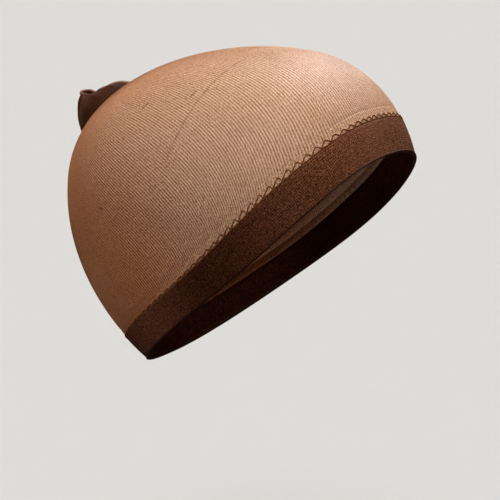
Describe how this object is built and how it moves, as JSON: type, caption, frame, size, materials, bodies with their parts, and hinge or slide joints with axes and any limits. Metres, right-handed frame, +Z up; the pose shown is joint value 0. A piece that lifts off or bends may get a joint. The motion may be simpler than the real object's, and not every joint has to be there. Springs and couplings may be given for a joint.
{
  "type": "wig cap",
  "caption": "Stretch stocking-knit wig cap in its worn form: ribbed dome, dark elastic band round an oblique opening, and a short gathered tail at the back.",
  "frame": {"origin": "the crown's inner face straight above the middle of the worn form, where the crown rests on what wears it", "axes": "+Z up, -Y towards the brow edge, +Y towards the gathered tail, X across"},
  "size_m": [0.1528, 0.1901, 0.1757],
  "materials": {
    "crown_knit": "sheer ribbed nylon knit, stretched, tan",
    "seam_knit": "double knit under the joining stitch, light tan",
    "band_elastic": "fine ribbed elastic knit, dark brown, matt",
    "tail_knit": "unstretched nylon knit, dark brown, matt"
  },
  "bodies": {
    "root": {"crown": "crown_knit", "seam_strip": "seam_knit", "band": "band_elastic", "gather_tail": "tail_knit"}
  },
  "joints": []
}
